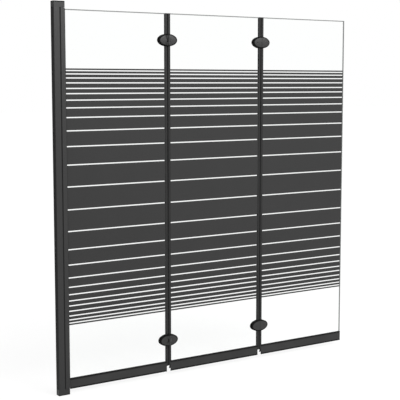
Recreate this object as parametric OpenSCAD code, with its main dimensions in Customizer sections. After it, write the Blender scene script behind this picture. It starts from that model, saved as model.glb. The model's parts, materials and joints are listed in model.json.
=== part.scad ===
// Folding bath screen: a wall post and three toughened panes that fold in a zigzag.
// X runs from the wall along the closed screen, Y from the front to the back (the bath side), Z up.
// The origin is on the wall plane at the foot of the post, in the middle of the glass thickness.

/* [Overall] */
// Width from the wall to the free edge of the glass
screen_w = 1300; // [1150:10:1450]
// Height of the post
screen_h = 1380; // [1250:10:1500]
// Distance between the fold lines, and from the last one to the free edge
panel_pitch = 422.5; // [360:2.5:450]

/* [Post] */
// Width of the whole post, from the wall to its glass side
post_w = 42; // [40:1:50]
// Depth of the post, front to back
post_depth = 24; // [23:1:28]
// Width of the fixed profile
fixed_w = 22.5; // [21:0.5:24]
// Width of the dark gap between the fixed and the turning profile
post_seam = 3.2; // [1.5:0.1:4]
// Wall thickness of the aluminium profiles
profile_wall = 1.6; // [1.2:0.1:2]
// Radius of the rounded front edges
front_round = 1.5; // [0.8:0.1:2]
// Height of each end cap
cap_h = 21; // [18:1:28]
// Chamfer round the outer end of each cap
cap_chamfer = 1.5; // [1:0.5:3]

/* [Pivot] */
// Distance of the pivot axis from the wall
pivot_x = 31.5; // [31:0.5:33]
// Radius of the round back of the turning profile
turn_r = 10.8; // [10:0.1:11.5]
// Gap between the turning profile and its groove
turn_gap = 0.4; // [0.3:0.1:0.8]
// Radius of the pivot pins
pivot_pin_r = 3; // [2.5:0.5:3.5]
// Length of a pivot pin inside its bush
pivot_pin_reach = 15; // [10:1:17]
// Length of the bush barrel
bush_len = 18; // [18:1:25]
// Thickness of the bush flange
bush_flange_t = 1; // [0.8:0.1:2]

/* [Wall fixing] */
// Distance between the wall screws
wall_hole_pitch = 380; // [300:10:380]
// Radius of the holes for the wall screws
wall_hole_r = 2.75; // [2:0.25:3.5]
// Wall thickness of the wall channel
channel_wall = 1.8; // [1.5:0.1:2]
// Distance between the side screws of the post
post_screw_pitch = 490; // [300:10:520]

/* [Glass] */
// Thickness of the panes
glass_t = 5; // [4:0.5:6]
// Height of the glass above the foot of the post
glass_lift = 40; // [36:1:50]
// Distance from the top of the post down to the top of the glass
glass_drop = 26; // [22:1:40]
// Distance between two panes at a fold line
glass_gap = 13; // [12:0.5:15]
// Ground bevel along the edges of the glass
arris = 0.8; // [0.4:0.1:1.2]
// Depth of the glass in the turning profile
glass_bite = 6.5; // [5:0.5:7]

/* [Stripes] */
// Height of the middle of the striped field above the middle of the glass
stripe_rise = 3; // [-40:1:40]
// Share of the glass height that the stripes take up
stripe_share = 0.6876; // [0.5:0.01:0.7]
// Height of the clear line between two stripes
clear_line = 4; // [3:0.5:6]
// Proportions of the distances between the clear lines, from the middle of the field outwards
stripe_pitches = [80.5, 76.5, 64.5, 54.5, 46, 33.5, 26.5, 22.5, 18, 19, 17, 14, 11.5];
// Height of the outermost stripe
last_stripe = 5.5; // [3:0.5:12]
// Bare margin beside the stripes
stripe_margin = 5; // [4:0.5:10]
// Thickness of the printed stripes
ink_t = 0.3; // [0.2:0.05:0.5]

/* [Hinges] */
// Width of a hinge
hinge_w = 79; // [70:1:90]
// Height of a hinge
hinge_h = 45; // [44:1:56]
// Distance from the end of the glass to the middle of a hinge
hinge_inset = 97; // [60:1:100]
// Thickness of a hinge plate on one side of the glass
plate_t = 6; // [5.5:0.1:7]
// Straight part of the rim of a hinge plate
plate_rim = 2.5; // [1.5:0.1:3]
// Width of the bevel round a hinge plate
plate_bevel = 5.5; // [2:0.5:6]
// Height of the crown of a hinge plate
plate_crown = 1.5; // [0.5:0.1:2]
// Gap between the left and the right half of a hinge
leaf_gap = 1; // [0.6:0.1:1.5]
// Length of the hinge barrel
barrel_h = 40; // [36:1:41]
// Radius of the hinge barrel
barrel_r = 4; // [3.5:0.1:5]
// Radius of the hinge pin
hinge_pin_r = 2; // [1.5:0.1:2.5]
// Gap between two knuckles
knuckle_gap = 0.4; // [0.3:0.1:0.8]
// Gap between the folded panels and the post
fold_clear = 1.5; // [1:0.5:4]
// Distance of the clamp screws from the fold line
screw_offset = 20; // [17:0.5:24]
// Radius of the clamp screws
screw_r = 2.5; // [2:0.25:3]

/* [Seals] */
// Overlap of a bulb seal on the glass
seal_bite = 4.5; // [3:0.5:6]
// Wall thickness of a bulb seal on each face of the glass
seal_wall = 1.3; // [1:0.1:1.8]
// Radius of the bulb
bulb_r = 3.6; // [3:0.1:3.8]
// Gap between two facing bulbs
bulb_gap = 0.8; // [0.6:0.1:1.2]
// Height of the drip seal on the glass
drip_grip = 14; // [10:1:20]
// Reach of the drip seal below the glass
drip_reach = 23; // [18:1:30]
// Wall thickness of the drip seal
drip_wall = 1.4; // [1:0.1:2]
// Thickness of the rubber gaskets
gasket_t = 1; // [0.8:0.1:1.5]

/* [Hidden] */
$fn = 64;

// Fits
slip = 0.02;
seat = 0.05;
running = 0.05;
clear = 0.3;
over = 1;

// Sides: the left or right half of a hinge, and the barrel in front of or behind the glass
LEFT = -1;
RIGHT = 1;
FRONT = -1;
BACK = 1;

// Post
half_depth = post_depth / 2;
groove_r = turn_r + turn_gap;
turning_x = fixed_w + post_seam;
port_inset = [4, 4.8];
port_x = fixed_w - port_inset[0];
port_y = half_depth - port_inset[1];
port_boss_r = 3.3;
port_r = 1.6;
hollow_h = screen_h - 2 * cap_h;
cap_back_round = half_depth;
cap_screw_head_r = 2.6;
cap_screw_head_h = 2.4;
cap_screw_sink = 3;
cap_screw_reach = 30;
tongue_x = 3;
tongue_w = 11;
tongue_h = 8;
tongue_inset = 5;
tongue_half = half_depth - tongue_inset;

// Rubber seal in the dark gap, held by the fixed profile
seam_seal_inset = 1.6;

// Wall channel
channel_half = half_depth - profile_wall - clear;
channel_depth = 14;
channel_end_gap = 1;
channel_lift = cap_h + channel_end_gap;
wall_hole_z = [for (i = [-1.5, -0.5, 0.5, 1.5]) screen_h / 2 + i * wall_hole_pitch];

// Side screws of the post
post_screw_x = 8;
post_screw_r = 1.6;
post_screw_head_r = 3.2;
post_screw_head_h = 2.2;
post_screw_len = 5;
post_screw_z = [for (i = [-1, 0, 1]) screen_h / 2 + i * post_screw_pitch];

// Pivot
bush_wall = 1.6;
bush_r = pivot_pin_r + bush_wall;
bush_flange_w = 4;
bush_flange_r = pivot_pin_r + bush_flange_w;
pivot_pin_root = 14;
end_play = 0.3;
turning_z = cap_h + bush_flange_t;
turning_h = hollow_h - 2 * bush_flange_t - end_play;

// Glass and its slot in the turning profile
glass_z = glass_lift;
glass_h = screen_h - glass_lift - glass_drop;
glass_top = glass_z + glass_h;
fold_b = screen_w - panel_pitch;
fold_a = fold_b - panel_pitch;
slot_mouth_x = post_w + 3;
glass_x = slot_mouth_x - glass_bite;
slot_half = glass_t / 2 + 1.3;
slot_x = glass_x - 1.2;
nose_half = slot_half + profile_wall;
lip_t = 1;
glass_edge = glass_gap / 2;
pane_left = [glass_x, fold_a + glass_edge, fold_b + glass_edge];
pane_right = [fold_a - glass_edge, fold_b - glass_edge, screen_w];

// Stripes
ink_gap = 0.05;
stripe_mid = glass_z + glass_h / 2 + stripe_rise;
stripe_rises = [
    for (i = 0, rise = stripe_pitches[0] / 2; i < len(stripe_pitches);
        i = i + 1, rise = rise + (i < len(stripe_pitches) ? stripe_pitches[i] : 0)) rise
];
last_line_rise = (stripe_share * glass_h - clear_line) / 2 - last_stripe;
clear_line_rise = stripe_rises * last_line_rise / stripe_rises[len(stripe_rises) - 1];
stripe_left = [slot_mouth_x + lip_t + clear, pane_left[1] + stripe_margin, pane_left[2] + stripe_margin];

// Hinges
plate_in = glass_t / 2 + gasket_t;
plate_out = plate_in + plate_t;
axis_out = max(0.5, (half_depth + fold_clear - plate_out) / 2);
axis_y = plate_out + axis_out;
upper_z = glass_top - hinge_inset;
lower_z = glass_z + hinge_inset;
web_h = 28;
web_out = glass_edge - clear;
knuckle_h = (barrel_h - 2 * knuckle_gap) / 3;
knuckle_root = axis_out + plate_t - plate_rim;
relief_r = barrel_r + 0.5;
fairing_w = 0.22 * hinge_w;
fairing_rise = axis_out - knuckle_gap;
pin_head_r = hinge_pin_r + 1;
pin_head_h = 1.2;
hinge_squash = hinge_h / hinge_w;
gasket_inset = 1;
crown_r = pow(hinge_w / 2, 2) / (2 * plate_crown);
sleeve_wall = 3.3;
pane_hole_r = screw_r + sleeve_wall + 0.2;
sleeve_r = pane_hole_r - 0.1;
screw_hole_r = screw_r + 0.2;
screw_head_r = 2 * screw_r;
screw_sink = 0.5;
thread_end = plate_out - 1.5;

// Seals
drip_edge = 0.8;
seal_out = glass_t / 2 + seal_wall;
bulb_x = bulb_gap / 2 + bulb_r;
bulb_hollow_r = bulb_r - 1.7;
seal_base_x = bulb_x + 0.6;
seal_z = glass_z - 2;
seal_hinge_gap = 0.45 * hinge_h;
drip_notch_h = glass_z + drip_grip + drip_edge + clear - seal_z;
seal_ends = [
    [seal_z, lower_z - seal_hinge_gap],
    [lower_z + seal_hinge_gap, upper_z - seal_hinge_gap],
    [upper_z + seal_hinge_gap, glass_top]
];
drip_out = glass_t / 2 + drip_wall;
drip_lip_out = 5;
drip_lip_low = 0.7 * drip_reach;
drip_inset = 1.5;
drip_left = [slot_mouth_x + lip_t + clear, pane_left[1] + drip_inset, pane_left[2] + drip_inset];

// ---- Shapes that several pieces share ----

// A rectangle whose two front corners are round
module front_rounded(x_low, x_high, y_front, y_back) {
    translate([x_low + front_round, y_front])
        square([x_high - x_low - 2 * front_round, y_back - y_front]);
    translate([x_low, y_front + front_round])
        square([x_high - x_low, y_back - y_front - front_round]);
    for (x = [x_low + front_round, x_high - front_round])
        translate([x, y_front + front_round])
            circle(r = front_round);
}

// A rectangle with bevelled corners, for the ground edges of the glass
module bevelled_rect(w, h, c) {
    polygon([
        [c, 0], [w - c, 0], [w, c], [w, h - c],
        [w - c, h], [c, h], [0, h - c], [0, c]
    ]);
}

// Puts a piece that is drawn at the foot of the post at its head
module at_head() {
    translate([0, 0, screen_h]) mirror([0, 0, 1]) children();
}

// Puts a piece that is drawn for the right side of a fold line, with its barrel at the back, in its place
module at_hinge(x, z, side, barrel) {
    translate([x, 0, z])
        mirror([side < 0 ? 1 : 0, 0, 0])
            mirror([0, barrel < 0 ? 1 : 0, 0])
                children();
}

// ---- Post ----

module port_holes(r, low, high) {
    for (side = [-1, 1])
        translate([port_x, side * port_y, low])
            cylinder(r = r, h = high - low);
}

module post_profile_outline() {
    difference() {
        front_rounded(0, fixed_w, -half_depth, half_depth);
        translate([pivot_x, 0]) circle(r = groove_r);
        difference() {
            translate([-over, -half_depth + profile_wall])
                square([over + fixed_w - profile_wall, post_depth - 2 * profile_wall]);
            translate([pivot_x, 0]) circle(r = groove_r + profile_wall);
            for (side = [-1, 1])
                translate([port_x, side * port_y]) circle(r = port_boss_r);
        }
        for (side = [-1, 1])
            translate([port_x, side * port_y]) circle(r = port_r);
    }
}

module post_screw_holes() {
    for (z = post_screw_z)
        translate([post_screw_x, 0, z])
            rotate([-90, 0, 0]) cylinder(r = post_screw_r + running, h = half_depth + over);
}

module post_profile() {
    color("dimgray") difference() {
        translate([0, 0, cap_h]) linear_extrude(hollow_h) post_profile_outline();
        post_screw_holes();
    }
}

module wall_channel() {
    color("dimgray") difference() {
        translate([0, -channel_half, channel_lift])
            cube([channel_depth, 2 * channel_half, screen_h - 2 * channel_lift]);
        translate([channel_wall, -channel_half + channel_wall, channel_lift - over])
            cube([
                channel_depth, 2 * (channel_half - channel_wall),
                screen_h - 2 * (channel_lift - over)
            ]);
        for (z = wall_hole_z)
            translate([-over, 0, z]) rotate([0, 90, 0])
                cylinder(r = wall_hole_r, h = channel_wall + 2 * over);
        post_screw_holes();
    }
}

module post_screws() {
    color("#3a3a3a") for (z = post_screw_z)
        translate([post_screw_x, half_depth, z]) rotate([90, 0, 0]) {
            cylinder(r = post_screw_r, h = post_screw_len);
            difference() {
                translate([0, 0, -post_screw_head_h])
                    cylinder(r = post_screw_head_r, h = post_screw_head_h);
                translate([0, 0, -post_screw_head_h - over])
                    cylinder(r = post_screw_r, h = over + post_screw_head_h / 2, $fn = 6);
            }
        }
}

// Removes a bevel along an edge of the outer end of a cap
module cap_edge_cut(length) {
    rotate([45, 0, 0]) cube([length, cap_chamfer * sqrt(2), cap_chamfer * sqrt(2)], center = true);
}

module cap_block() {
    difference() {
        linear_extrude(cap_h) front_rounded(0, post_w, -half_depth, half_depth);
        for (y = [-half_depth, half_depth])
            translate([post_w / 2, y, 0]) cap_edge_cut(2 * post_w);
        translate([post_w, 0, 0]) rotate([0, 0, 90]) cap_edge_cut(2 * post_depth);
        // The round back corner leaves room for the drip seal as the panel turns
        difference() {
            translate([post_w - cap_back_round, half_depth - cap_back_round, -over])
                cube([cap_back_round + over, cap_back_round + over, cap_h + 2 * over]);
            translate([post_w - cap_back_round, half_depth - cap_back_round, 0]) {
                translate([0, 0, cap_chamfer])
                    cylinder(r = cap_back_round, h = cap_h + 2 * over);
                cylinder(
                    r1 = cap_back_round - cap_chamfer, r2 = cap_back_round, h = cap_chamfer
                );
            }
        }
    }
}

module end_cap() {
    difference() {
        union() {
            cap_block();
            translate([tongue_x, -tongue_half, cap_h - over])
                cube([tongue_w, 2 * tongue_half, tongue_h + over]);
        }
        translate([pivot_x, 0, cap_h - pivot_pin_root])
            cylinder(r = pivot_pin_r + slip, h = pivot_pin_root + over);
        port_holes(port_r + clear, -over, cap_h + over);
        port_holes(cap_screw_head_r + clear, -over, cap_screw_sink);
    }
}

module bottom_cap() {
    color("dimgray") end_cap();
}

module top_cap() {
    color("dimgray") at_head() end_cap();
}

module cap_screw_pair() {
    difference() {
        union() {
            port_holes(port_r - running, cap_screw_sink, cap_screw_sink + cap_screw_reach);
            port_holes(cap_screw_head_r, cap_screw_sink - cap_screw_head_h, cap_screw_sink);
        }
        for (side = [-1, 1])
            translate([port_x, side * port_y, 0])
                cylinder(r = port_r, h = cap_screw_sink - cap_screw_head_h / 2, $fn = 6);
    }
}

module cap_screws() {
    color("#3a3a3a") {
        cap_screw_pair();
        at_head() cap_screw_pair();
    }
}

module pivot_pin() {
    translate([pivot_x, 0, cap_h - pivot_pin_root])
        cylinder(r = pivot_pin_r, h = pivot_pin_root + bush_flange_t + pivot_pin_reach);
}

module bottom_pivot_pin() {
    color("silver") pivot_pin();
}

module top_pivot_pin() {
    color("silver") at_head() pivot_pin();
}

module seam_seal() {
    color("black") translate([0, 0, cap_h]) linear_extrude(hollow_h) difference() {
        translate([fixed_w, seam_seal_inset - half_depth])
            square([post_seam - clear, half_depth - seam_seal_inset]);
        translate([pivot_x, 0]) circle(r = groove_r);
    }
}

// ---- Turning profile and its glazing ----

module pivot_profile_outline() {
    difference() {
        union() {
            translate([pivot_x, 0]) circle(r = turn_r);
            front_rounded(turning_x, post_w, -half_depth, 0);
            translate([pivot_x, -nose_half])
                square([slot_mouth_x - pivot_x, 2 * nose_half]);
        }
        translate([pivot_x, 0]) circle(r = bush_r + slip);
        translate([slot_x, -slot_half])
            square([slot_mouth_x - slot_x + over, 2 * slot_half]);
        translate([turning_x + profile_wall, -half_depth + profile_wall])
            square([
                post_w - turning_x - 2 * profile_wall,
                half_depth - 2 * profile_wall - max(bush_r, slot_half)
            ]);
    }
}

module pivot_profile() {
    color("dimgray") translate([0, 0, turning_z]) linear_extrude(turning_h) pivot_profile_outline();
}

module pivot_bush() {
    translate([pivot_x, 0, turning_z]) difference() {
        union() {
            translate([0, 0, -bush_flange_t]) cylinder(r = bush_flange_r, h = bush_flange_t);
            cylinder(r = bush_r, h = bush_len);
        }
        translate([0, 0, -bush_flange_t - over])
            cylinder(r = pivot_pin_r + running, h = bush_len + bush_flange_t + 2 * over);
    }
}

module bottom_bush() {
    color("lightgray") pivot_bush();
}

module top_bush() {
    color("lightgray") translate([0, 0, -end_play]) at_head() pivot_bush();
}

module glazing_gasket() {
    color("black") difference() {
        union() {
            translate([slot_x, -slot_half, glass_z])
                cube([slot_mouth_x - slot_x, 2 * slot_half, glass_h]);
            translate([slot_mouth_x, -nose_half + 0.5, glass_z])
                cube([lip_t, 2 * nose_half - 1, glass_h]);
        }
        translate([glass_x - seat, -glass_t / 2 - seat, glass_z - over])
            cube([slot_mouth_x, glass_t + 2 * seat, glass_h + 2 * over]);
    }
}

// ---- Panes and stripes ----

// The places of the hinge screws in a pane, as distances from the fold lines beside it
function pane_hole_x(pane) = concat(
    pane > 0 ? [(pane == 1 ? fold_a : fold_b) + screw_offset] : [],
    pane < 2 ? [(pane == 0 ? fold_a : fold_b) - screw_offset] : []
);

module pane(index) {
    width = pane_right[index] - pane_left[index];
    color("lightcyan", 0.4) difference() {
        intersection() {
            translate([pane_left[index], -glass_t / 2, glass_z])
                linear_extrude(glass_h) bevelled_rect(width, glass_t, arris);
            translate([pane_left[index], -glass_t / 2, glass_z])
                rotate([90, 0, 90]) linear_extrude(width) bevelled_rect(glass_t, glass_h, arris);
        }
        for (x = pane_hole_x(index), z = [lower_z, upper_z])
            translate([x, -glass_t, z]) rotate([-90, 0, 0])
                cylinder(r = pane_hole_r, h = 2 * glass_t);
    }
}

module stripe(index, low, high) {
    translate([stripe_left[index], -glass_t / 2 - ink_gap - ink_t, stripe_mid + low])
        cube([pane_right[index] - stripe_margin - stripe_left[index], ink_t, high - low]);
}

module stripes(index) {
    last = len(clear_line_rise) - 1;
    color("#434343") {
        stripe(index, -clear_line_rise[0] + clear_line / 2, clear_line_rise[0] - clear_line / 2);
        for (i = [0 : last]) {
            low = clear_line_rise[i] + clear_line / 2;
            high = i < last ? clear_line_rise[i + 1] - clear_line / 2 : low + last_stripe;
            stripe(index, low, high);
            stripe(index, -high, -low);
        }
    }
}

// ---- Seals ----

// A bulb seal on the glass at the right of a fold line
module bulb_seal_outline() {
    difference() {
        union() {
            translate([seal_base_x, -seal_out])
                square([glass_edge + seal_bite - seal_base_x, 2 * seal_out]);
            translate([bulb_x, 0]) circle(r = bulb_r);
        }
        translate([glass_edge - seat, -glass_t / 2 - seat])
            square([seal_bite + over, glass_t + 2 * seat]);
        translate([bulb_x, 0]) circle(r = bulb_hollow_r);
    }
}

// part is 0, 1 or 2: below, between or above the hinges
module bulb_seal(x, side, part) {
    color("#303030") translate([x, 0, 0]) mirror([side < 0 ? 1 : 0, 0, 0]) difference() {
        translate([0, 0, seal_ends[part][0]])
            linear_extrude(seal_ends[part][1] - seal_ends[part][0]) bulb_seal_outline();
        // The foot of the lowest length is notched round the drip seal
        if (part == 0)
            translate([glass_edge, -hinge_w / 2, seal_z - over])
                cube([seal_bite + over, hinge_w, drip_notch_h + over]);
        // The ends follow the oval of the hinges
        for (z = [lower_z, upper_z])
            translate([0, -hinge_w / 2, z]) oval_block(-clear, hinge_w);
    }
}

// Drawn around the lower edge of the glass, with the front at negative x
module drip_seal_outline() {
    inner = glass_t / 2 + seat;
    polygon([
        [-drip_out, drip_grip - drip_edge], [-drip_out - drip_edge, drip_grip],
        [-drip_out - drip_edge, drip_grip + drip_edge], [-inner, drip_grip + drip_edge],
        [-inner, -seat], [inner, -seat], [inner, drip_grip + drip_edge],
        [drip_out, drip_grip + drip_edge], [drip_out, -drip_wall],
        [drip_out + drip_lip_out, -drip_lip_low],
        [drip_out + drip_lip_out - drip_wall, -drip_lip_low], [inner, -drip_wall],
        [drip_wall - drip_out, -drip_wall], [drip_wall - drip_out, -drip_reach],
        [-drip_out - drip_edge, -drip_reach], [-drip_out - drip_edge, drip_edge - drip_reach],
        [-drip_out, 2 * drip_edge - drip_reach]
    ]);
}

module bottom_seal(index) {
    length = pane_right[index] - (index < 2 ? drip_inset : 0) - drip_left[index];
    color("#3c3c3c") translate([drip_left[index], 0, glass_z])
        rotate([90, 0, 90]) linear_extrude(length) drip_seal_outline();
}

// ---- Hinges, drawn for the right side of the fold line with the barrel at positive Y ----

// A solid with the oval outline, inset from the rim, standing on the plane Y = 0
module oval_block(inset, h) {
    scale([1, 1, hinge_squash]) rotate([-90, 0, 0]) cylinder(r = hinge_w / 2 - inset, h = h);
}

// Half of the crowned oval plate, from its inner face at Y = 0 outwards
module half_plate() {
    difference() {
        scale([1, 1, hinge_squash]) rotate([-90, 0, 0]) intersection() {
            union() {
                cylinder(r = hinge_w / 2, h = plate_rim);
                translate([0, 0, plate_rim])
                    cylinder(
                        r1 = hinge_w / 2, r2 = hinge_w / 2 - plate_bevel,
                        h = plate_t - plate_rim
                    );
            }
            translate([0, 0, plate_t - crown_r]) sphere(r = crown_r, $fn = 360);
        }
        translate([-hinge_w, -over, -hinge_h])
            cube([hinge_w + leaf_gap / 2, plate_t + 2 * over, 2 * hinge_h]);
    }
}

// The heights of the knuckles, lowest first, from the middle of the hinge
knuckle_low = [for (i = [0 : 2]) -barrel_h / 2 + i * (knuckle_h + knuckle_gap)];

// A knuckle and the fairing that runs from it down into its plate, below the other leaf when folded
module knuckle(low) {
    translate([0, axis_y, low]) linear_extrude(knuckle_h) {
        circle(r = barrel_r);
        polygon([
            [0, fairing_rise], [relief_r, fairing_rise],
            [fairing_w, -knuckle_root], [0, -knuckle_root]
        ]);
    }
}

// outer is true for the leaf with the upper and lower knuckles, and false for the one with the middle knuckle
module leaf(outer) {
    own = outer ? [0, 2] : [1];
    other = outer ? [1] : [0, 2];
    difference() {
        union() {
            difference() {
                translate([0, plate_in, 0]) half_plate();
                for (i = other)
                    translate([0, axis_y, knuckle_low[i] - knuckle_gap])
                        cylinder(r = relief_r, h = knuckle_h + 2 * knuckle_gap);
                for (z = [-barrel_h / 2 - hinge_h, barrel_h / 2])
                    translate([0, axis_y, z]) cylinder(r = pin_head_r + 0.4, h = hinge_h);
            }
            translate([leaf_gap / 2, -plate_in, -web_h / 2])
                cube([web_out - leaf_gap / 2, 2 * plate_in + 0.5, web_h]);
            for (i = own) knuckle(knuckle_low[i]);
        }
        translate([0, axis_y, -hinge_h])
            cylinder(r = hinge_pin_r + (outer ? slip : running), h = 2 * hinge_h);
        translate([screw_offset, 0, 0]) rotate([-90, 0, 0]) cylinder(r = screw_r + slip, h = thread_end);
    }
}

module hinge_leaf(x, z, side, barrel) {
    color("#4a4a4a") at_hinge(x, z, side, barrel) leaf(side < 0);
}

module clamp_plate(x, z, side, barrel) {
    color("#4a4a4a") at_hinge(x, z, side, barrel) mirror([0, 1, 0]) difference() {
        translate([0, plate_in, 0]) half_plate();
        translate([screw_offset, 0, 0]) rotate([-90, 0, 0]) {
            cylinder(r = screw_hole_r, h = plate_out + over);
            translate([0, 0, plate_out - screw_sink - screw_r])
                cylinder(r1 = screw_r, r2 = screw_head_r, h = screw_r);
            translate([0, 0, plate_out - screw_sink]) cylinder(r = screw_head_r + 0.2, h = over);
        }
    }
}

module hinge_pin(x, z, barrel) {
    color("#3a3a3a") at_hinge(x, z, RIGHT, barrel) translate([0, axis_y, 0]) {
        translate([0, 0, -barrel_h / 2 - knuckle_gap])
            cylinder(r = hinge_pin_r, h = barrel_h + 2 * knuckle_gap);
        for (end = [0, 1])
            mirror([0, 0, end]) translate([0, 0, barrel_h / 2 + slip])
                cylinder(r = pin_head_r, h = pin_head_h);
    }
}

module clamp_screw() {
    mirror([0, 1, 0]) translate([screw_offset, 0, 0]) rotate([-90, 0, 0]) difference() {
        union() {
            translate([0, 0, -thread_end + clear])
                cylinder(r = screw_r, h = thread_end + plate_out - screw_sink - clear);
            translate([0, 0, plate_out - screw_sink - screw_r + slip])
                cylinder(r1 = screw_r, r2 = screw_head_r, h = screw_r);
        }
        translate([0, 0, plate_out - screw_sink - screw_r * 0.8])
            cylinder(r = 0.7 * screw_r, h = plate_t, $fn = 6);
    }
}

module clamp_gaskets() {
    difference() {
        for (y = [glass_t / 2 + seat, -glass_t / 2 - gasket_t])
            translate([0, y, 0]) oval_block(gasket_inset, gasket_t - seat);
        translate([-hinge_w, -hinge_w / 2, -hinge_h])
            cube([hinge_w + glass_edge + clear, hinge_w, 2 * hinge_h]);
        translate([screw_offset, -hinge_w / 2, 0]) rotate([-90, 0, 0])
            cylinder(r = screw_hole_r, h = hinge_w);
    }
    // A sleeve keeps the screw off the glass
    translate([screw_offset, -glass_t / 2 + slip, 0]) rotate([-90, 0, 0]) difference() {
        cylinder(r = sleeve_r, h = glass_t - 2 * slip);
        translate([0, 0, -over]) cylinder(r = screw_hole_r, h = glass_t + 2 * over);
    }
}

// The hinges of each pane, as the fold line, the side of it that the pane lies on, and the barrel's side
pane_hinges = [
    [[fold_a, LEFT, FRONT]],
    [[fold_a, RIGHT, FRONT], [fold_b, LEFT, BACK]],
    [[fold_b, RIGHT, BACK]]
];

module hinge_gaskets(index) {
    color("black") for (h = pane_hinges[index], z = [lower_z, upper_z])
        at_hinge(h[0], z, h[1], h[2]) clamp_gaskets();
}

module hinge_screws(index) {
    color("#3a3a3a") for (h = pane_hinges[index], z = [lower_z, upper_z])
        at_hinge(h[0], z, h[1], h[2]) clamp_screw();
}

// ---- Nodes ----

wall_channel();
post_profile();
post_screws();
top_cap();
bottom_cap();
cap_screws();
top_pivot_pin();
bottom_pivot_pin();
seam_seal();

pivot_profile();
top_bush();
bottom_bush();
glazing_gasket();
pane(0);  // glass_1
stripes(0);  // stripes_1
bottom_seal(0);  // bottom_seal_1
bulb_seal(fold_a, LEFT, 0);  // seal_1_right_lower
bulb_seal(fold_a, LEFT, 1);  // seal_1_right_middle
bulb_seal(fold_a, LEFT, 2);  // seal_1_right_upper
hinge_leaf(fold_a, upper_z, LEFT, FRONT);  // hinge_a_upper_left_leaf
clamp_plate(fold_a, upper_z, LEFT, FRONT);  // hinge_a_upper_left_plate
hinge_pin(fold_a, upper_z, FRONT);  // hinge_a_upper_pin
hinge_leaf(fold_a, lower_z, LEFT, FRONT);  // hinge_a_lower_left_leaf
clamp_plate(fold_a, lower_z, LEFT, FRONT);  // hinge_a_lower_left_plate
hinge_pin(fold_a, lower_z, FRONT);  // hinge_a_lower_pin
hinge_gaskets(0);  // hinge_gaskets_1
hinge_screws(0);  // hinge_screws_1

pane(1);  // glass_2
stripes(1);  // stripes_2
bottom_seal(1);  // bottom_seal_2
bulb_seal(fold_a, RIGHT, 0);  // seal_2_left_lower
bulb_seal(fold_a, RIGHT, 1);  // seal_2_left_middle
bulb_seal(fold_a, RIGHT, 2);  // seal_2_left_upper
bulb_seal(fold_b, LEFT, 0);  // seal_2_right_lower
bulb_seal(fold_b, LEFT, 1);  // seal_2_right_middle
bulb_seal(fold_b, LEFT, 2);  // seal_2_right_upper
hinge_leaf(fold_a, upper_z, RIGHT, FRONT);  // hinge_a_upper_right_leaf
clamp_plate(fold_a, upper_z, RIGHT, FRONT);  // hinge_a_upper_right_plate
hinge_leaf(fold_a, lower_z, RIGHT, FRONT);  // hinge_a_lower_right_leaf
clamp_plate(fold_a, lower_z, RIGHT, FRONT);  // hinge_a_lower_right_plate
hinge_leaf(fold_b, upper_z, LEFT, BACK);  // hinge_b_upper_left_leaf
clamp_plate(fold_b, upper_z, LEFT, BACK);  // hinge_b_upper_left_plate
hinge_pin(fold_b, upper_z, BACK);  // hinge_b_upper_pin
hinge_leaf(fold_b, lower_z, LEFT, BACK);  // hinge_b_lower_left_leaf
clamp_plate(fold_b, lower_z, LEFT, BACK);  // hinge_b_lower_left_plate
hinge_pin(fold_b, lower_z, BACK);  // hinge_b_lower_pin
hinge_gaskets(1);  // hinge_gaskets_2
hinge_screws(1);  // hinge_screws_2

pane(2);  // glass_3
stripes(2);  // stripes_3
bottom_seal(2);  // bottom_seal_3
bulb_seal(fold_b, RIGHT, 0);  // seal_3_left_lower
bulb_seal(fold_b, RIGHT, 1);  // seal_3_left_middle
bulb_seal(fold_b, RIGHT, 2);  // seal_3_left_upper
hinge_leaf(fold_b, upper_z, RIGHT, BACK);  // hinge_b_upper_right_leaf
clamp_plate(fold_b, upper_z, RIGHT, BACK);  // hinge_b_upper_right_plate
hinge_leaf(fold_b, lower_z, RIGHT, BACK);  // hinge_b_lower_right_leaf
clamp_plate(fold_b, lower_z, RIGHT, BACK);  // hinge_b_lower_right_plate
hinge_gaskets(2);  // hinge_gaskets_3
hinge_screws(2);  // hinge_screws_3
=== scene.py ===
import json
import math

import bpy
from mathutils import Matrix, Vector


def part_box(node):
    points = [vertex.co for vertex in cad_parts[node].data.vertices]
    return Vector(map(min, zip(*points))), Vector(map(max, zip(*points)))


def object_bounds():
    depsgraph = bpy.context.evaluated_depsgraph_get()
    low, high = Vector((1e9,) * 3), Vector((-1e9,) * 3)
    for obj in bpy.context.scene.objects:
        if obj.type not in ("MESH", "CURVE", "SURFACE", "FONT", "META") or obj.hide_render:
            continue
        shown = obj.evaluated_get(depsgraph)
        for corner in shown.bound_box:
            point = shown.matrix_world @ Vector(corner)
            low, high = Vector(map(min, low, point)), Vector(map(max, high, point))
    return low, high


X, Y, Z = range(3)

# Camera, fitted to the photograph's perspective
CAMERA_AT = (-1.4207, -3.1442, 1.1038)
CAMERA_YAW = 32.70  # degrees, turned towards +X
CAMERA_PITCH = 6.09  # degrees, tilted down
FOCAL = 89.17  # mm
FILM_WIDTH = 36  # mm
SHIFT_Y = -0.03
FAR_CLIP = 100

# Studio: the room is brightest at the front right, where the softbox stands, and dims towards the back left.
# Each fade is how far a direction points to the bright side where the light starts and stops rising.
BRIGHT_SIDE = (0.55, -0.83, 0.10)
STUDIO_WHITE = 1.0
SKY_LIGHT = (0.62, 1.0)
SKY_FADE = (-0.8, 0.8)
ROOM_REFLECTED = (0.42, 1.0)
REFLECTED_FADE = (0.1, 0.8)

# Floor: dark enough to keep a faint shadow, and lifted to white by a glow that throws no light
FLOOR_SIZE = 60
FLOOR_GAP = 0.0005  # below the foot of the post
FLOOR_LEVEL = 0.25
FLOOR_LIFT = 0.78
FLOOR_FADE = (-1.0, 0.5)  # metres towards the bright side, over which the floor's reflection rises

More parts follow.
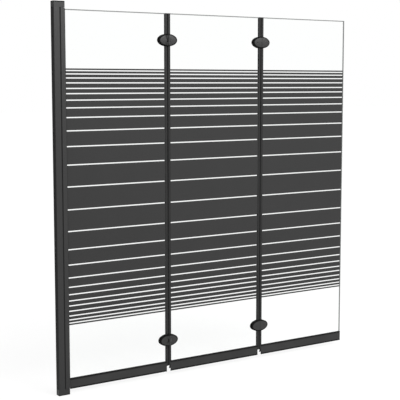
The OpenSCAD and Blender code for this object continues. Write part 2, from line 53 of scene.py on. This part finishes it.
# Finishes: where most values of a noise lie, and the grey level, roughness and shine of the anthracite coats
NOISE_RANGE = (0.3, 0.7)
ANTHRACITE = 0.020
SATIN = 0.37
SATIN_SHINE = 0.42
DRAWN_OUT = 0.012  # how far the draw lines of vinyl are drawn out along it

# How far the painted shade on the edges reaches in, from the side and the top of a hinge's oval and from a
# cap's end
OVAL_SHADE_REACH = (0.0055, 0.0045)
OVAL_SHADE_BLUR = 0.03  # of the square of the oval's radius
CAP_SHADE_REACH = 0.0035
CAP_SHADE_BLUR = 0.0002
# The painted shade on those edges: a darker share of the coat's tone, less shine and more roughness
SHADE_TONES = (0.25, 0.35)  # of the coat's level
SHADE_SHINE = 0.2  # of the coat's shine
SHADE_ROUGHNESS = 0.3  # more than the coat's

# The painted shade along each edge of a drip seal, darker and rougher than its body
LIP_SHADE_HEIGHT = 0.0055
LIP_SHADE_BLUR = 0.0003
LIP_SHADE_TONES = (0.22, 0.32)
LIP_SHADE_ROUGHNESS = 0.2

# Glass: the ground edges, and the band beside them where they show through the face
EDGE_TONES = ((0.20, 0.21, 0.205, 1), (0.26, 0.27, 0.265, 1))
EDGE_COVER = 0.88
EDGE_FACING = (0.75, 0.95)  # how squarely a face looks along Y, where the edge's grey starts and stops fading
BAND_WIDTH = (0.0024, 0.0040)  # where the band starts and stops fading
BAND_COVER = 0.82
CLEAR_TINT = (0.996, 1.0, 0.998, 1)
MIRROR_SQUARE = 0.002  # share mirrored where it is looked at squarely
MIRROR_SLANT = 0.9  # share added at the flattest slant
FRESNEL_POWER = 5.0  # of Schlick's formula
SMEAR_ROUGHNESS = (0.12, 0.16)

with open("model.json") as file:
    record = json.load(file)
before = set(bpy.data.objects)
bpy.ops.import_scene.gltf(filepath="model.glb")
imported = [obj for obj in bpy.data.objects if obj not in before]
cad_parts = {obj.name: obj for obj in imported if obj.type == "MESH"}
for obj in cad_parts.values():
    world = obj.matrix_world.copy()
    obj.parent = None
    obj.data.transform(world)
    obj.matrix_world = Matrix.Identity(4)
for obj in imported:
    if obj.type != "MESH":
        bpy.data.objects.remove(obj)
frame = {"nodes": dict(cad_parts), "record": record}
cad_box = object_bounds()
nodes = frame["nodes"]
slot_of = {s["node"]: s["material_slot"] for s in frame["record"]["subparts"]}


# ---- Node trees ----


def grey(level):
    return (level, level, level, 1)


class Tree:
    """A node tree, with short ways to add what the finishes and the studio use."""

    def __init__(self, tree):
        self.nodes = tree.nodes
        self.links = tree.links
        self.place = self.nodes.new("ShaderNodeTexCoord")

    def put(self, value, socket):
        """Links another node's output to a socket, or sets a number or a colour on it."""
        if isinstance(value, bpy.types.NodeSocket):
            self.links.new(value, socket)
        else:
            socket.default_value = value

    def add(self, kind, inputs, **settings):
        """A new node with these settings, and with a value or an output put on each input that is named."""
        node = self.nodes.new("ShaderNode" + kind)
        for name, setting in settings.items():
            setattr(node, name, setting)
        for name, value in inputs.items():
            self.put(value, node.inputs[name])
        return node

    def math(self, operation, *values, clamp=False):
        return self.add("Math", dict(enumerate(values)), operation=operation, use_clamp=clamp).outputs[0]

    def spread(self, value, low, high, start=0.0, end=1.0):
        """Maps start to end onto low to high, and holds low and high beyond them."""
        inputs = {"Value": value, "From Min": start, "From Max": end, "To Min": low, "To Max": high}
        return self.add("MapRange", inputs).outputs["Result"]

    def choose(self, factor, otherwise, value):
        """The value where the factor is 1, and otherwise where it is 0."""
        inputs = {"Factor": factor, "A": otherwise, "B": value}
        return self.add("Mix", inputs, data_type="FLOAT").outputs["Result"]

    def blend(self, factor, a, b):
        """Mixes two colours, from a where the factor is 0 to b where it is 1."""
        inputs = {"Factor": factor, "A": a, "B": b}
        return self.add("Mix", inputs, data_type="RGBA").outputs["Result"]

    def along(self, axis, output="Object"):
        """One coordinate of the piece's own place, or of its Normal."""
        return self.add("SeparateXYZ", {0: self.place.outputs[output]}).outputs[axis]

    def from_ends(self, low, high, axis):
        """The distance from the nearer end of a box along one axis."""
        at = self.along(axis)
        above = self.math("SUBTRACT", at, low[axis])
        below = self.math("SUBTRACT", high[axis], at)
        return self.math("MINIMUM", above, below)

    def near(self, distance, reach, blur):
        """1 up to the reach and 0 beyond it, with a soft border."""
        return self.spread(distance, 1.0, 0.0, reach - blur, reach + blur)

    def noise(self, scale, detail, stretch=(1, 1, 1)):
        """Noise in the piece's own place. A small number in the stretch draws it out along that axis."""
        mapping = self.add("Mapping", {"Vector": self.place.outputs["Object"], "Scale": stretch})
        inputs = {"Vector": mapping.outputs["Vector"], "Scale": scale, "Detail": detail}
        return self.add("TexNoise", inputs).outputs["Fac"]

    def noisy(self, noise, low, high):
        """Moves between low and high with a noise."""
        return self.spread(noise, low, high, *NOISE_RANGE)

    def tones(self, noise, level, shares):
        """A grey that moves between two shares of its level with a noise."""
        darkest, lightest = (grey(level * share) for share in shares)
        return self.blend(self.noisy(noise, low=0.0, high=1.0), darkest, lightest)

    def bump(self, height, distance):
        inputs = {"Strength": 1.0, "Distance": distance, "Height": height}
        return self.add("Bump", inputs).outputs["Normal"]

    def principled(self, colour, roughness, normal, **others):
        inputs = {"Base Color": colour, "Roughness": roughness, "Normal": normal}
        inputs.update({name.replace("_", " "): value for name, value in others.items()})
        return self.add("BsdfPrincipled", inputs).outputs["BSDF"]

    def mix(self, factor, a, b):
        return self.add("MixShader", {0: factor, 1: a, 2: b}).outputs[0]

    def brightness(self, output):
        """How far a place or a direction lies towards the bright side."""
        inputs = {0: self.place.outputs[output], 1: BRIGHT_SIDE}
        return self.add("VectorMath", inputs, operation="DOT_PRODUCT").outputs["Value"]

    def by_ray(self, lighting, mirrored, seen):
        """One value for the rays that bring light, one for reflections, and one for what the camera sees,
        also through glass."""
        rays = self.add("LightPath", {}).outputs
        in_sight = self.math("MAXIMUM", rays["Is Camera Ray"], rays["Is Transmission Ray"])
        return self.choose(in_sight, self.choose(rays["Is Glossy Ray"], lighting, mirrored), seen)


class Look(Tree):
    """The tree of a new material."""

    def __init__(self, name):
        self.material = bpy.data.materials.new(name)
        self.material.use_nodes = True
        self.material.node_tree.nodes.clear()
        super().__init__(self.material.node_tree)

    def finish(self, shader):
        self.add("OutputMaterial", {"Surface": shader})
        return self.material


# ---- Finishes ----


def coat(t, mottle, level, shares, roughness, normal, shine, shade_mask=None):
    """A mottled coat. Where the shade mask is 1, it is painted darker as shade, and is rougher and shines
    less.
    """
    colour = t.tones(mottle, level, shares)
    if shade_mask is not None:
        # Painted shade: a darker tone, more roughness and less shine where the mask is 1
        colour = t.blend(shade_mask, colour, t.tones(mottle, level, SHADE_TONES))
        roughness = t.math("MULTIPLY_ADD", shade_mask, SHADE_ROUGHNESS, roughness)
        shine = t.spread(shade_mask, shine, shine * SHADE_SHINE)
    return t.finish(t.principled(colour, roughness, normal, Specular_IOR_Level=shine))


def oval_shade(t, hinge):
    """The mask of painted shade: 1 near and beyond the oval outline of a hinge's plates, and 0 inside."""
    pin_low, pin_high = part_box(hinge + "_pin")
    plate_low, plate_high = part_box(hinge + "_left_plate")
    middle = (pin_low + pin_high) / 2
    reach_x = middle.x - plate_low.x - OVAL_SHADE_REACH[0]
    reach_z = (plate_high.z - plate_low.z) / 2 - OVAL_SHADE_REACH[1]
    x = t.math("DIVIDE", t.math("SUBTRACT", t.along(X), middle.x), reach_x)
    z = t.math("DIVIDE", t.math("SUBTRACT", t.along(Z), middle.z), reach_z)
    out = t.math("ADD", t.math("MULTIPLY", x, x), t.math("MULTIPLY", z, z))
    return t.spread(out, 0.0, 1.0, 1 - OVAL_SHADE_BLUR, 1 + OVAL_SHADE_BLUR)


def powder_coat(name, level, rough, shine, peel_scale, hinge=None):
    """Satin powder coat: a fine orange peel with a slight mottle in tone and gloss.
    The plates of a named hinge get painted shade, darker and duller towards their oval outline."""
    t = Look(name)
    mottle = t.noise(scale=14.0, detail=4.0)
    peel = t.noise(peel_scale, detail=3.0)
    roughness = t.noisy(peel, low=rough - 0.04, high=rough + 0.05)
    normal = t.bump(peel, distance=0.00006)
    # Painted shade towards the oval outline of the hinge's plates
    shade_mask = oval_shade(t, hinge) if hinge else None
    return coat(t, mottle, level, (0.93, 1.07), roughness, normal, shine, shade_mask)


def moulded(name, level, rough, shine, grain_scale, shaded_ends=False):
    """Moulded plastic or rubber with a spark-eroded grain. Where its ends are asked for, it gets painted
    shade, darker and duller close to the top and the foot of the whole part."""
    t = Look(name)
    grain = t.noise(grain_scale, detail=5.0)
    clouds = t.noise(scale=22.0, detail=2.0)
    roughness = t.noisy(grain, low=rough - 0.05, high=rough + 0.06)
    normal = t.bump(grain, distance=0.00008)
    # Painted shade along the top and the foot of the whole part
    shade_mask = t.near(t.from_ends(*cad_box, Z), CAP_SHADE_REACH, CAP_SHADE_BLUR) if shaded_ends else None
    return coat(t, clouds, level, (0.92, 1.08), roughness, normal, shine, shade_mask)


def drawn_metal(name, level, rough):
    """Bare metal with fine lines from turning and drawing."""
    t = Look(name)
    lines = t.noise(scale=1400.0, detail=4.0, stretch=(1.0, 0.01, 1.0))
    colour = t.tones(lines, level, shares=(0.88, 1.06))
    roughness = t.noisy(lines, low=rough - 0.08, high=rough + 0.1)
    return t.finish(t.principled(colour, roughness, t.bump(lines, distance=0.00003), Metallic=1.0))


def vinyl_grain(t, rough, length_axis):
    """Faint draw lines along a strip, as its roughness and normal, and the noise of a little bloom."""
    stretch = [1.0, 1.0, 1.0]
    stretch[length_axis] = DRAWN_OUT
    lines = t.noise(scale=700.0, detail=3.0, stretch=stretch)
    roughness = t.noisy(lines, low=rough - 0.06, high=rough + 0.08)
    bloom = t.noise(scale=9.0, detail=3.0)
    return roughness, t.bump(lines, distance=0.00005), bloom


def bulb_vinyl(name, level, rough, shine):
    """The soft vinyl of the upright seals."""
    t = Look(name)
    roughness, normal, bloom = vinyl_grain(t, rough, Z)
    colour = t.tones(bloom, level, shares=(0.9, 1.12))
    return t.finish(t.principled(colour, roughness, normal, Specular_IOR_Level=shine))


def drip_vinyl(strip, level, rough, shine):
    """The drip seal's hard body, with painted shade along its two edges, where it is darker and rougher."""
    low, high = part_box(strip)
    t = Look(strip)
    roughness, normal, bloom = vinyl_grain(t, rough, X)
    # Painted shade along the top and the foot of the seal
    lip_shade = t.near(t.from_ends(low, high, Z), LIP_SHADE_HEIGHT, LIP_SHADE_BLUR)
    body = t.tones(bloom, level, shares=(0.88, 1.12))
    shaded_lip = t.tones(bloom, level, shares=LIP_SHADE_TONES)
    roughness = t.math("MULTIPLY_ADD", lip_shade, LIP_SHADE_ROUGHNESS, roughness)
    return t.finish(t.principled(t.blend(lip_shade, body, shaded_lip), roughness, normal, Specular_IOR_Level=shine))


def ink(name, level, shine):
    """Dark enamel ink fired onto the glass, a little dull and finely pitted."""
    t = Look(name)
    pits = t.noise(scale=2600.0, detail=3.0)
    cloud = t.noise(scale=6.0, detail=3.0)
    colour = t.tones(cloud, level, shares=(1.0, 1.07))
    roughness = t.noisy(pits, low=0.42, high=0.56)
    return t.finish(t.principled(colour, roughness, t.bump(pits, distance=0.00002), Specular_IOR_Level=shine))


def ground_edge(t):
    """The shader of the glass's ground edges."""
    grit = t.noise(scale=1800.0, detail=3.0)
    colour = t.blend(t.noisy(grit, low=0.0, high=1.0), *EDGE_TONES)
    roughness = t.noisy(grit, low=0.35, high=0.55)
    return t.principled(colour, roughness, t.bump(grit, distance=0.00004), Specular_IOR_Level=0.5)


def clear_face(t):
    """The shader of the glass's faces, which let nearly everything through and mirror more at a slant.
    With a blend of a half, Facing is one minus the cosine of the slant, as Schlick's formula takes it."""
    slant = t.add("LayerWeight", {"Blend": 0.5}).outputs["Facing"]
    mirror = t.math("MULTIPLY_ADD", t.math("POWER", slant, FRESNEL_POWER), MIRROR_SLANT, MIRROR_SQUARE)
    smear = t.noise(scale=5.0, detail=3.0, stretch=(1.0, 1.0, 0.35))
    clear = t.add("BsdfTransparent", {"Color": CLEAR_TINT})
    gloss = t.add("BsdfGlossy", {"Roughness": t.noisy(smear, *SMEAR_ROUGHNESS)})
    return t.mix(mirror, clear.outputs[0], gloss.outputs[0])


def glass(pane):
    """Clear thin glass. Its ground edges, and a narrow band beside them on the face, are grey."""
    low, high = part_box(pane)
    t = Look(pane)
    from_edge = t.math("MINIMUM", t.from_ends(low, high, X), t.from_ends(low, high, Z))
    band = t.spread(from_edge, BAND_COVER, 0.0, *BAND_WIDTH)
    facing = t.math("ABSOLUTE", t.along(Y, "Normal"))
    ground = t.spread(facing, EDGE_COVER, 0.0, *EDGE_FACING)
    solid = t.math("MAXIMUM", ground, band, clamp=True)
    return t.finish(t.mix(solid, clear_face(t), ground_edge(t)))


finishes = {
    "coated_aluminium": powder_coat("coated_aluminium", ANTHRACITE, SATIN, SATIN_SHINE, peel_scale=1500.0),
    "coated_channel": powder_coat("coated_channel", level=0.028, rough=0.60, shine=0.14, peel_scale=1500.0),
    "cap_plastic": moulded(
        "cap_plastic", ANTHRACITE, rough=0.40, shine=SATIN_SHINE, grain_scale=1200.0, shaded_ends=True
    ),
    "dark_steel": drawn_metal("dark_steel", level=0.06, rough=0.40),
    "bush_plastic": moulded("bush_plastic", level=0.62, rough=0.40, shine=0.4, grain_scale=900.0),
    "steel": drawn_metal("steel", level=0.5, rough=0.28),
    "enamel": ink("enamel", level=0.0355, shine=0.2),
    "gasket_rubber": moulded("gasket_rubber", level=0.012, rough=0.66, shine=0.2, grain_scale=700.0),
    "dark_seal": bulb_vinyl("dark_seal", level=0.018, rough=0.46, shine=0.24),
}

hinges = [name[: -len("_pin")] for name in nodes if name.startswith("hinge") and name.endswith("_pin")]
castings = {
    hinge: powder_coat("casting_" + hinge, ANTHRACITE, SATIN, SATIN_SHINE, peel_scale=1900.0, hinge=hinge)
    for hinge in hinges
}


def finish_of(name):
    """The material of a node: its slot's finish, or one made to the measure of the node or its hinge."""
    if slot_of[name] == "coated_casting":
        return castings[next(hinge for hinge in hinges if name.startswith(hinge))]
    if name.startswith("glass_"):
        return glass(name)
    if name.startswith("bottom_seal"):
        return drip_vinyl(name, level=0.045, rough=0.46, shine=0.12)
    if name == "wall_channel":
        return finishes["coated_channel"]
    return finishes[slot_of[name]]


for name, node in nodes.items():
    node.data.materials.clear()
    node.data.materials.append(finish_of(name))


# ---- Studio ----


def light_room():
    """White to the camera, and to all else brighter from the bright side than from behind."""
    world = bpy.data.worlds.new("studio")
    bpy.context.scene.world = world
    world.use_nodes = True
    t = Tree(world.node_tree)
    side = t.brightness("Generated")
    lighting = t.spread(side, *SKY_LIGHT, *SKY_FADE)
    mirrored = t.spread(side, *ROOM_REFLECTED, *REFLECTED_FADE)
    background = t.nodes["Background"]
    background.inputs["Color"].default_value = (1, 1, 1, 1)
    t.put(t.by_ray(lighting, mirrored, STUDIO_WHITE), background.inputs["Strength"])


def lay_floor():
    """A pale floor under the foot of the post, whose glow shows to the camera and in reflections only."""
    bpy.ops.mesh.primitive_plane_add(size=FLOOR_SIZE, location=(0, 0, cad_box[0][Z] - FLOOR_GAP))
    floor = bpy.context.object
    floor.name = "floor"
    t = Look("floor")
    speckle = t.noise(scale=1.5, detail=2.0)
    diffuse = t.add("BsdfDiffuse", {"Color": t.tones(speckle, FLOOR_LEVEL, shares=(1.0, 1.02))})
    mirrored = t.spread(t.brightness("Object"), 0.0, FLOOR_LIFT, *FLOOR_FADE)
    glow = t.add("Emission", {"Strength": t.by_ray(0.0, mirrored, FLOOR_LIFT)})
    both = t.add("AddShader", {0: diffuse.outputs[0], 1: glow.outputs[0]})
    floor.data.materials.append(t.finish(both.outputs[0]))


def put_in_scene(name, data, rotation, location=(0, 0, 0)):
    """A new object for a lamp or a camera."""
    obj = bpy.data.objects.new(name, data)
    bpy.context.scene.collection.objects.link(obj)
    obj.location = location
    obj.rotation_euler = rotation
    return obj


def area_lamp(name, at, towards, size, watts):
    lamp = bpy.data.lights.new(name, "AREA")
    lamp.shape = "RECTANGLE"
    lamp.size, lamp.size_y = size
    lamp.energy = watts
    aim = [b - a for a, b in zip(at, towards)]
    tilt = math.atan2(math.hypot(aim[X], aim[Y]), -aim[Z])
    put_in_scene(name, lamp, (tilt, 0, math.atan2(-aim[X], aim[Y])), at)


def sun(name, elevation, azimuth, strength, spread):
    lamp = bpy.data.lights.new(name, "SUN")
    lamp.energy = strength
    lamp.angle = math.radians(spread)
    put_in_scene(name, lamp, (math.radians(90 - elevation), 0, math.radians(azimuth)))


def set_camera():
    camera = bpy.data.cameras.new("camera")
    camera.lens = FOCAL
    camera.sensor_width = FILM_WIDTH
    camera.shift_y = SHIFT_Y
    camera.clip_end = FAR_CLIP
    rotation = (math.radians(90 - CAMERA_PITCH), 0, math.radians(-CAMERA_YAW))
    bpy.context.scene.camera = put_in_scene("camera", camera, rotation, CAMERA_AT)


light_room()
lay_floor()
sun("key", elevation=50, azimuth=25, strength=0.6, spread=40)
area_lamp("softbox", at=(1.7, -3.0, 2.24), towards=(0.5, 0.0, 0.9), size=(3.0, 1.0), watts=47)
set_camera()
bpy.context.scene.view_settings.view_transform = "Standard"
